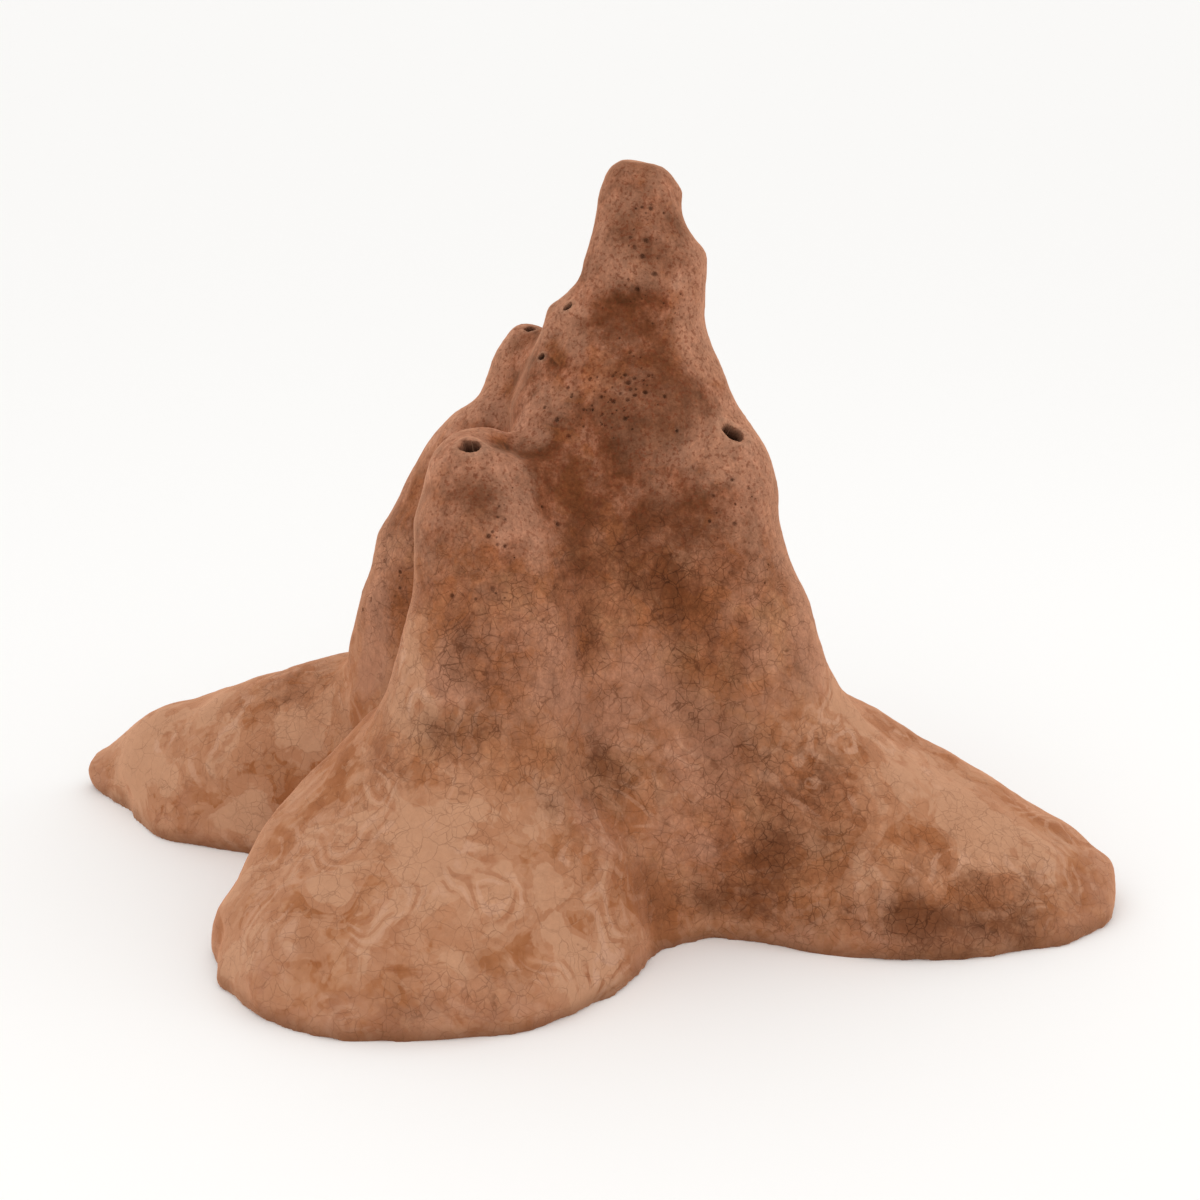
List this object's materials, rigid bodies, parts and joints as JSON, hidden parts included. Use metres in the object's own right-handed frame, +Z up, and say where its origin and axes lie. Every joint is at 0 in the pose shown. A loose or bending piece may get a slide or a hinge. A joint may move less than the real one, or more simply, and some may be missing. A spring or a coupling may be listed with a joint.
{
  "type": "termite mound",
  "caption": "Buttressed mound of cemented red-brown earth: a spire with columns leaning on it, legs spreading over the ground, and small open vents.",
  "frame": {"origin": "middle of the base's bounding box, on the flat cut at the ground", "axes": "+Z up; +X to the right, from the long left leg's tip to the right leg's end; -Y towards the front leg, +Y to the back"},
  "size_m": [3.0466, 2.212, 2],
  "materials": {
    "cemented_earth": "dry, matt, red-brown cemented earth with darker stains, fine cracks and small pits"
  },
  "bodies": {
    "root": {"termite_mound": "cemented_earth"}
  },
  "joints": []
}
